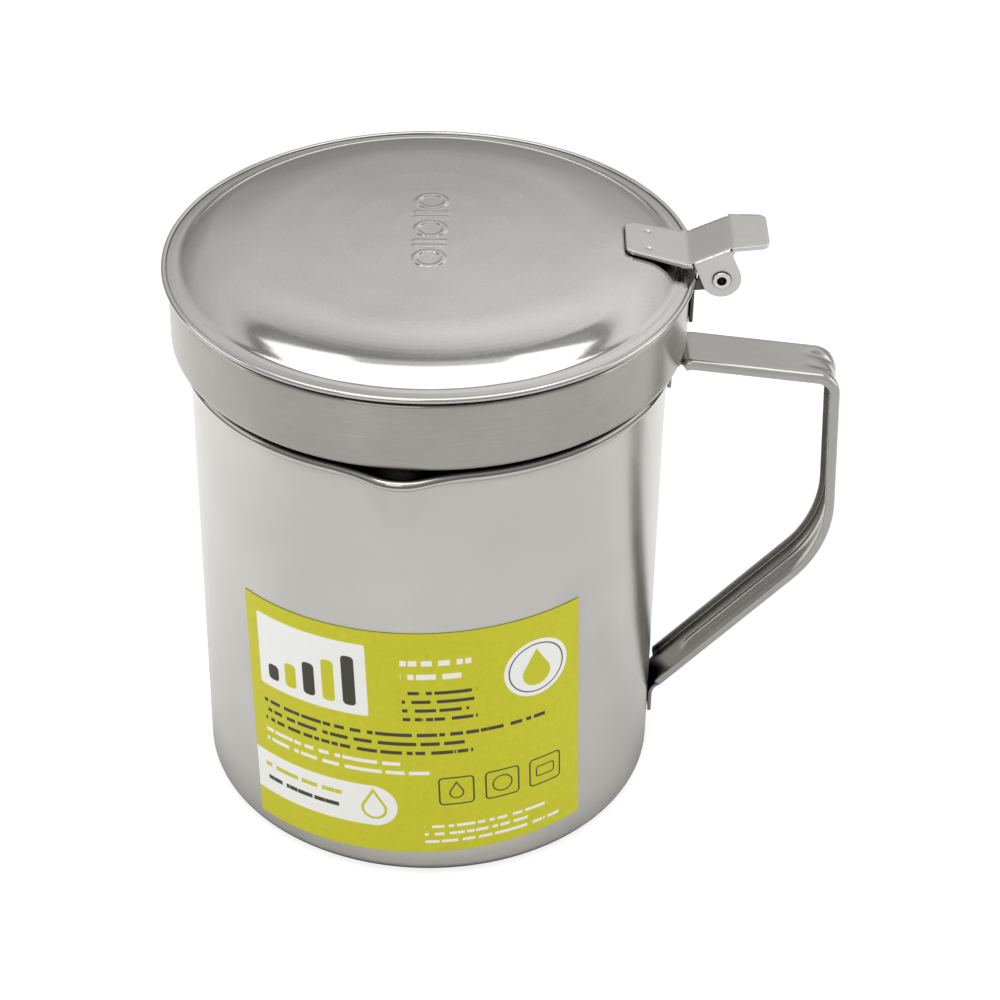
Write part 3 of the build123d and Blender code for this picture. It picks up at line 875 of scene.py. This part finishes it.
class Nodes:
    """Short forms for building a material's node tree."""

    def __init__(self, tree):
        self.tree = tree

    def new(self, kind, **settings):
        node = self.tree.nodes.new(kind)
        for key, value in settings.items():
            setattr(node, key, value)
        return node

    def link(self, source, target):
        self.tree.links.new(source, target)

    def put(self, socket, value):
        if isinstance(value, bpy.types.NodeSocket):
            self.link(value, socket)
        else:
            socket.default_value = value

    def math(self, operation, a, b=0.0, c=0.0):
        node = self.new("ShaderNodeMath", operation=operation)
        for socket, value in zip(node.inputs, (a, b, c)):
            self.put(socket, value)
        return node.outputs[0]

    def add(self, a, b):
        return self.math("ADD", a, b)

    def sub(self, a, b):
        return self.math("SUBTRACT", a, b)

    def mul(self, a, b):
        return self.math("MULTIPLY", a, b)

    def div(self, a, b):
        return self.math("DIVIDE", a, b)

    def length(self, x, y):
        return self.math("SQRT", self.add(self.mul(x, x), self.mul(y, y)))

    def point(self):
        """The point's own coordinates, in metres."""
        return self.new("ShaderNodeTexCoord").outputs["Object"]

    def split(self, vector):
        node = self.new("ShaderNodeSeparateXYZ")
        self.link(vector, node.inputs[0])
        return node.outputs

    def join(self, x, y, z=0.0):
        node = self.new("ShaderNodeCombineXYZ")
        for socket, value in zip(node.inputs, (x, y, z)):
            self.put(socket, value)
        return node.outputs[0]

    def noise(self, vector, scale=1.0, detail=2.0, rough=0.5):
        node = self.new("ShaderNodeTexNoise")
        self.put(node.inputs["Vector"], vector)
        node.inputs["Scale"].default_value = scale
        node.inputs["Detail"].default_value = detail
        node.inputs["Roughness"].default_value = rough
        return node.outputs[0]

    def spread(self, value, low, high, from_low=0.3, from_high=0.7):
        """Maps a noise's middle range to low..high."""
        node = self.new("ShaderNodeMapRange")
        self.put(node.inputs["Value"], value)
        for name, v in (("From Min", from_low), ("From Max", from_high),
                        ("To Min", low), ("To Max", high)):
            node.inputs[name].default_value = v
        return node.outputs[0]

    def mix(self, share, a, b):
        node = self.new("ShaderNodeMix", data_type="RGBA")
        self.put(node.inputs[0], share)
        self.put(node.inputs[6], a)
        self.put(node.inputs[7], b)
        return node.outputs[2]

    def bump(self, height, strength, distance):
        node = self.new("ShaderNodeBump")
        node.inputs["Strength"].default_value = strength
        node.inputs["Distance"].default_value = distance
        self.link(height, node.inputs["Height"])
        return node.outputs[0]


def node_material(name):
    mat = bpy.data.materials.new(name)
    mat.use_nodes = True
    mat.node_tree.nodes.clear()
    n = Nodes(mat.node_tree)
    out = n.new("ShaderNodeOutputMaterial")
    bsdf = n.new("ShaderNodeBsdfPrincipled")
    n.link(bsdf.outputs[0], out.inputs[0])
    return mat, n, bsdf


def grain_vector(n, lines, length, width):
    """Coordinates in which a noise looks like brush lines of a length and width in metres."""
    x, y, z = n.split(n.point())
    if lines == "around":
        turn = n.mul(n.math("ARCTAN2", y, x), POT_RADIUS * MM / length)
        return n.join(turn, n.div(z, width), n.div(n.length(x, y), width))
    if lines == "along":
        return n.join(n.div(x, length), n.div(y, width), n.div(z, length))
    return n.join(n.div(x, width), n.div(y, width), n.div(z, width))


def steel(name, colour, roughness, stretch=0.0, lines="plain", grain=(0.006, 0.0003), relief=0.05,
          cloud=0.04, gap=0.0015, polished_above=None, painted_roll_shade=None):
    """Satin steel: fine brush lines, a little cloudiness in tone and roughness, and shallow relief.

    gap is the width in metres of the creases in which a painted shade turns it dark. Above the
    height polished_above, in metres, it is polished. The last argument is a painted shade: it
    darkens the outer side of a rolled edge.
    """
    mat, n, bsdf = node_material(name)
    fine = n.noise(grain_vector(n, lines, *grain), 1.0, 3.0, 0.6)
    clouds = n.noise(n.point(), 60.0, 3.0, 0.55)
    tone = n.add(n.spread(fine, -cloud, cloud), n.spread(clouds, -cloud, cloud))
    dark = tuple(c * (1 - 2 * cloud) for c in colour) + (1,)
    light = tuple(min(1.0, c * (1 + 2 * cloud)) for c in colour) + (1,)
    clean = n.mix(n.spread(tone, 0.0, 1.0, -2 * cloud, 2 * cloud), dark, light)
    # painted shade: the colour is darkened towards black where the normal points out and a little
    # up, on the rolled edges
    if painted_roll_shade:
        rise = n.split(n.new("ShaderNodeNewGeometry").outputs["Normal"])[2]
        share = n.math("MAXIMUM", n.spread(rise, 1.0, painted_roll_shade, 0.06, 0.16),
                       n.spread(rise, painted_roll_shade, 1.0, 0.45, 0.8))
        clean = n.mix(share, (0, 0, 0, 1), clean)
    # painted shade: ambient occlusion mixes the colour towards near black in creases narrower than
    # gap
    painted_crease_shade = n.new("ShaderNodeAmbientOcclusion", samples=8)
    painted_crease_shade.inputs["Distance"].default_value = gap
    n.link(n.mix(n.spread(painted_crease_shade.outputs["AO"], 0.0, 1.0, 0.4, 0.9), CREASE_SHADE, clean),
           bsdf.inputs["Base Color"])
    rough = n.add(n.add(n.spread(fine, -0.03, 0.03), n.spread(clouds, -0.02, 0.02)), roughness)
    if polished_above:
        height = n.split(n.point())[2]
        share = n.spread(height, 1.0, 0.35, polished_above - 0.0003, polished_above + 0.0003)
        rough = n.mul(rough, share)
    n.link(rough, bsdf.inputs["Roughness"])
    bsdf.inputs["Metallic"].default_value = 1.0
    if relief:
        n.link(n.bump(fine, relief, 0.0001), bsdf.inputs["Normal"])
    if stretch:
        bsdf.inputs["Anisotropic"].default_value = stretch
        bsdf.inputs["Anisotropic Rotation"].default_value = 0.25
        tangent = n.new("ShaderNodeTangent", direction_type="RADIAL", axis="Z")
        n.link(tangent.outputs[0], bsdf.inputs["Tangent"])
    return mat


def printed_paper():
    """Lime label with generic white, lime and dark shapes. Lengths are millimetres on the label."""
    mat, n, bsdf = node_material("printed_paper")
    lime = (0.570, 0.548, 0.013, 1)
    white = (0.86, 0.86, 0.83, 1)
    dark = (0.045, 0.045, 0.030, 1)
    flat = n.split(n.new("ShaderNodeUVMap", uv_map="flat").outputs[0])
    u, v = (n.mul(n.sub(share, 0.5), LABEL_WIDTH) for share in flat[:2])
    soft = 0.06

    def inside(distance):
        return n.spread(distance, 1.0, 0.0, -soft, soft)

    def box(cx, cy, half_u, half_v, corner):
        du = n.sub(n.math("ABSOLUTE", n.sub(u, cx)), half_u - corner)
        dv = n.sub(n.math("ABSOLUTE", n.sub(v, cy)), half_v - corner)
        du, dv = n.math("MAXIMUM", du, 0.0), n.math("MAXIMUM", dv, 0.0)
        return n.sub(n.length(du, dv), corner)

    def disc(cx, cy, radius):
        return n.sub(n.length(n.sub(u, cx), n.sub(v, cy)), radius)

    def ring(distance, half):
        return n.sub(n.math("ABSOLUTE", distance), half)

    def drop(cx, cy, radius):
        """A drop: a disc whose sides run up to a point."""
        du = n.math("ABSOLUTE", n.sub(u, cx))
        dv = n.sub(v, cy)
        side = n.add(n.mul(du, 0.87), n.mul(dv, 0.5))
        point = n.math("MAXIMUM", n.sub(side, radius),
                       n.sub(radius * 0.45, dv))
        return n.math("MINIMUM", disc(cx, cy, radius), point)

    def dashes(left, top, length, pitch, rows, height, seed):
        """Rows of dashes of uneven length, where a real label has its small print."""
        down = n.div(n.sub(top, v), pitch)
        row = n.math("FLOOR", down)
        centred = n.math("ABSOLUTE", n.sub(n.math("FRACT", down), 0.5))
        along = n.add(n.mul(u, 0.62), n.mul(row, 37.7))
        words = n.new("ShaderNodeTexNoise", noise_dimensions="1D")
        n.link(n.add(along, seed), words.inputs["W"])
        words.inputs["Scale"].default_value = 1.0
        words.inputs["Detail"].default_value = 1.0
        ends = n.new("ShaderNodeTexWhiteNoise", noise_dimensions="1D")
        n.link(n.add(row, seed), ends.inputs["W"])
        reach = n.math("MULTIPLY_ADD", ends.outputs["Value"], length * 0.35, length * 0.65)
        half = height / pitch / 2
        mask = n.spread(centred, 1.0, 0.0, half - 0.03, half + 0.03)
        mask = n.mul(mask, n.spread(words.outputs[0], 0.0, 1.0, 0.40, 0.43))
        for past in (n.sub(u, n.add(reach, left)), n.sub(left, u), n.sub(v, top),
                     n.sub(top - rows * pitch, v)):
            mask = n.mul(mask, inside(past))
        return mask

    tone = n.noise(n.point(), 900.0, 2.0)
    colour = n.mix(n.spread(tone, 0.0, 1.0), (0.552, 0.530, 0.012, 1), (0.588, 0.566, 0.014, 1))
    layers = [
        # white band from the left edge, with a drop and small print in it
        (inside(box(-24.0, -15.5, 21.0, 5.0, 5.0)), white),
        (inside(ring(drop(-7.6, -16.3, 2.3), 0.28)), lime),
        (dashes(-32.0, -12.4, 20.0, 2.4, 1, 1.0, 3.1), lime),
        (dashes(-32.0, -15.6, 19.0, 2.4, 1, 1.0, 8.4), dark),
        # white panel with upright bars of a level scale
        (inside(box(-19.5, 15.0, 12.0, 8.4, 0.6)), white),
        # white disc with a drop
        (inside(disc(25.0, 14.5, 6.6)), white),
        (inside(drop(25.0, 13.2, 2.9)), lime),
        (inside(ring(disc(25.0, 14.5, 5.6), 0.14)), dark),
        # small print
        (dashes(-1.0, 21.5, 17.0, 3.2, 2, 1.25, 11.0), white),
        (dashes(-1.0, 13.9, 16.5, 2.1, 4, 0.8, 14.7), dark),
        (dashes(-31.0, 3.8, 58.0, 2.2, 3, 0.85, 21.9), dark),
        (dashes(-31.0, -3.4, 40.0, 2.2, 2, 0.85, 26.2), white),
        (dashes(2.0, -19.4, 28.0, 1.9, 3, 0.7, 31.8), white),
    ]
    for k in range(5):
        ink = lime if k % 2 else dark
        layers.append((inside(box(-27.9 + 4.2 * k, 10.4 + k, 1.3, 1.8 + k, 0.9)), ink))
    # three small framed signs
    signs = (drop(8.5, -12.0, 1.3), disc(17.5, -11.5, 1.9), box(26.5, -11.5, 1.9, 1.2, 0.5))
    for x, sign in zip((8.5, 17.5, 26.5), signs):
        layers.append((inside(ring(box(x, -11.5, 3.3, 3.3, 0.8), 0.17)), dark))
        layers.append((inside(ring(sign, 0.15)), dark))
    for mask, ink in layers:
        colour = n.mix(mask, colour, ink)
    n.link(colour, bsdf.inputs["Base Color"])
    n.link(n.spread(tone, 0.38, 0.46), bsdf.inputs["Roughness"])
    n.link(n.bump(tone, 0.04, 0.0001), bsdf.inputs["Normal"])
    bsdf.inputs["Specular IOR Level"].default_value = 0.35
    return mat


# ---- pieces ----
def dress(obj, body, material, node):
    """Gives a mesh its material, and puts it on its body in the place of a CAD node."""
    obj.data.materials.clear()
    obj.data.materials.append(material)
    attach(obj, body)
    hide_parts(node)


def soften(node, material):
    """A CAD node with smooth faces."""
    obj = frame["nodes"][node]
    obj.data.materials.clear()
    obj.data.materials.append(material)
    for p in obj.data.polygons:
        p.use_smooth = True
    weld = obj.modifiers.new("weld", "WELD")
    weld.merge_threshold = 0.000001
    split = obj.modifiers.new("split", "EDGE_SPLIT")
    split.split_angle = math.radians(35)


pot_steel = steel("pot_steel", (0.60, 0.585, 0.555), 0.21, 1.0, "around", relief=0.02, gap=0.003,
                  polished_above=(RIM_HEIGHT - RIM_ROLL) * MM, painted_roll_shade=0.3)
collar_steel = steel("collar_steel", (0.405, 0.390, 0.362), 0.24, 0.95, "around", relief=0.02,
                     cloud=0.07, gap=0.003,
                     polished_above=(COLLAR_TOP - COLLAR_BENDS[0]) * MM)
lid_steel = steel("lid_steel", (0.585, 0.573, 0.553), 0.12, relief=0.01, grain=(0.0006, 0.0004),
                  gap=0.001, painted_roll_shade=0.6)
# The strap's steel is coloured darker than the pot's: painted shade for its tabs, which sit in
# shadow against the wall.
strap_painted_shade_steel = steel("strap_painted_shade_steel", (0.43, 0.42, 0.40), 0.20, lines="along", relief=0.02, gap=0.003)
lever_steel = steel("lever_steel", (0.61, 0.60, 0.58), 0.24, lines="along", relief=0.0, cloud=0.02)
# The bracket is coloured near black: painted shade for its ears, which sit in shadow between the
# lever and the collar.
bracket_painted_shade_steel = steel("bracket_painted_shade_steel", (0.10, 0.098, 0.092), 0.26, lines="along", relief=0.0)
basket_steel = steel("basket_steel", (0.55, 0.54, 0.52), 0.28)
rivet_steel = steel("rivet_steel", (0.70, 0.69, 0.67), 0.14, relief=0.0, cloud=0.01)

pot = revolve("pot", pot_loop(), pot_azimuths(), closed=False, place=pot_place)
dress(pot, "pot", pot_steel, "pot_body")
dress(sharpen(strap()), "pot", strap_painted_shade_steel, "handle")
dress(sharpen(label_sheet()), "pot", printed_paper(), "product_label")
collar = revolve("collar", collar_loop(), full_turn(300))
dress(sharpen(collar), "strainer", collar_steel, "strainer_collar")
lid = revolve("lid_shell", lid_loop(), full_turn(420), closed=False, place=lid_place)
dress(sharpen(lid, 50.0), "lid", lid_steel, "lid")
dress(lever(), "lid", lever_steel, "lid_lever")
dress(bracket(), "strainer", bracket_painted_shade_steel, "hinge_bracket")
soften("hinge_rivet", rivet_steel)
soften("strainer_basket", basket_steel)


# ---- stage ----
def camera():
    """A long lens from the front, looking down at 36 degrees."""
    data = bpy.data.cameras.new("camera")
    obj = add_object("camera", data)
    obj.location = (0.01231, -0.42994, 0.36028)
    obj.rotation_euler = (math.radians(90 - 35.8537), 0, math.radians(1.64))
    data.lens = 96.282
    data.shift_x = 0.07109
    data.shift_y = 0.03367
    data.clip_start = 0.01
    bpy.context.scene.camera = obj


def floor():
    """White floor. Camera rays see it lifted to white, and the object's soft shadow stays."""
    half, low = 900.0, -0.2
    obj = make_mesh("floor", [(-half, -half, low), (half, -half, low), (half, half, low),
                              (-half, half, low)], [[0, 1, 2, 3]], smooth=False)
    mat = bpy.data.materials.new("floor_white")
    mat.use_nodes = True
    mat.node_tree.nodes.clear()
    n = Nodes(mat.node_tree)
    out = n.new("ShaderNodeOutputMaterial")
    diffuse = n.new("ShaderNodeBsdfDiffuse")
    glow = n.new("ShaderNodeEmission")
    both = n.new("ShaderNodeAddShader")
    ray = n.new("ShaderNodeLightPath").outputs
    camera_ray = ray["Is Camera Ray"]
    glossy_ray = ray["Is Glossy Ray"]
    x, y, z = n.split(n.point())
    reach = n.length(x, y)
    never_zero = n.add(reach, 0.001)
    towards_back = n.div(y, never_zero)
    right = n.spread(n.div(x, never_zero), 0.0, 1.0, 0.1, 0.5)
    # what metal mirrors is painted: a painted shade darkens the floor close to the pot, and a
    # painted glow lightens it behind, for reflections only
    near = n.mul(n.spread(reach, 0.30, 0.0, 0.045, 0.053), glossy_ray)
    albedo = n.sub(n.math("MULTIPLY_ADD", camera_ray, -0.45, 0.75), near)
    n.link(n.join(albedo, albedo, albedo), diffuse.inputs["Color"])
    left_level = n.spread(towards_back, 0.0, 0.40, -0.6, 0.84)
    right_level = n.spread(towards_back, 0.0, 0.36, -0.15, 0.76)
    level = n.add(n.mul(right, right_level), n.mul(n.sub(1.0, right), left_level))
    # painted glow: an emission of the floor that only reflections see
    painted_glow = n.mul(glossy_ray, level)
    n.link(n.math("MULTIPLY_ADD", camera_ray, 0.80, painted_glow), glow.inputs["Strength"])
    n.link(diffuse.outputs[0], both.inputs[0])
    n.link(glow.outputs[0], both.inputs[1])
    n.link(both.outputs[0], out.inputs[0])
    obj.data.materials.append(mat)


def world():
    """A white room to the camera, and a grey gradient with height to everything else."""
    w = bpy.data.worlds.new("world")
    bpy.context.scene.world = w
    w.use_nodes = True
    n = Nodes(w.node_tree)
    background = w.node_tree.nodes["Background"]
    x, y, z = n.split(n.new("ShaderNodeTexCoord").outputs["Generated"])
    ramp = n.new("ShaderNodeValToRGB")
    ramp.color_ramp.interpolation = "EASE"
    stops = [(0.0, 0.32), (0.15, 0.40), (0.34, 0.54), (0.58, 0.84), (0.77, 1.03), (0.83, 0.92),
             (0.865, 0.36), (0.885, 0.34), (0.92, 0.45)]
    bar = ramp.color_ramp.elements
    while len(bar) < len(stops):
        bar.new(0.5)
    for element, (at, level) in zip(bar, stops):
        element.position = at
        element.color = (level, level, level, 1)
    # the dark band behind the top light comes lower at its sides
    bow = n.mul(n.math("MINIMUM", n.mul(x, x), 0.09), 1.3)
    n.link(n.add(n.math("MAXIMUM", z, 0.0), bow), ramp.inputs[0])
    back = n.spread(y, 0.0, 1.0, -0.25, 0.15)
    aside = n.spread(x, 0.78, 1.04, -0.35, 0.05)
    behind = n.mul(ramp.outputs[0], aside)
    front = n.mix(back, (0.75, 0.75, 0.75, 1), n.join(behind, behind, behind))
    camera_ray = n.new("ShaderNodeLightPath").outputs["Is Camera Ray"]
    n.link(n.mix(camera_ray, front, (1, 1, 1, 1)), background.inputs[0])


def softbox(name, place, aim, width, height, radiance):
    """An area light of a given radiance that only reflections and surfaces see."""
    data = bpy.data.lights.new(name, "AREA")
    data.shape = "RECTANGLE"
    data.size, data.size_y = width, height
    data.energy = radiance * width * height * math.pi
    obj = add_object(name, data)
    obj.location = place
    obj.rotation_euler = (Vector(aim) - Vector(place)).to_track_quat("-Z", "Y").to_euler()
    obj.visible_camera = False


camera()
floor()
world()
for name, x, y, width, height, radiance in (
        ("top_light", 0.0, -0.09, 1.16, 0.52, 1.7),
        ("top_left_light", -0.37, 0.235, 0.36, 0.14, 1.7),
        ("top_right_light", 0.37, 0.235, 0.36, 0.14, 1.7),
        ("top_back_light", 0.0, 0.235, 0.38, 0.14, 0.34)):
    softbox(name, (x, y, 0.9), (x, y, 0.0), width, height, radiance)
POT_MIDDLE = (0.0, 0.0, 0.08)
softbox("front_light", (-0.25, -0.75, 0.75), POT_MIDDLE, 0.5, 0.4, 1.6)
softbox("left_light", (-0.95, 0.05, 0.35), POT_MIDDLE, 0.6, 0.6, 1.4)
softbox("right_light", (0.95, 0.05, 0.35), POT_MIDDLE, 0.6, 0.6, 1.4)

bpy.context.scene.view_settings.view_transform = "Standard"
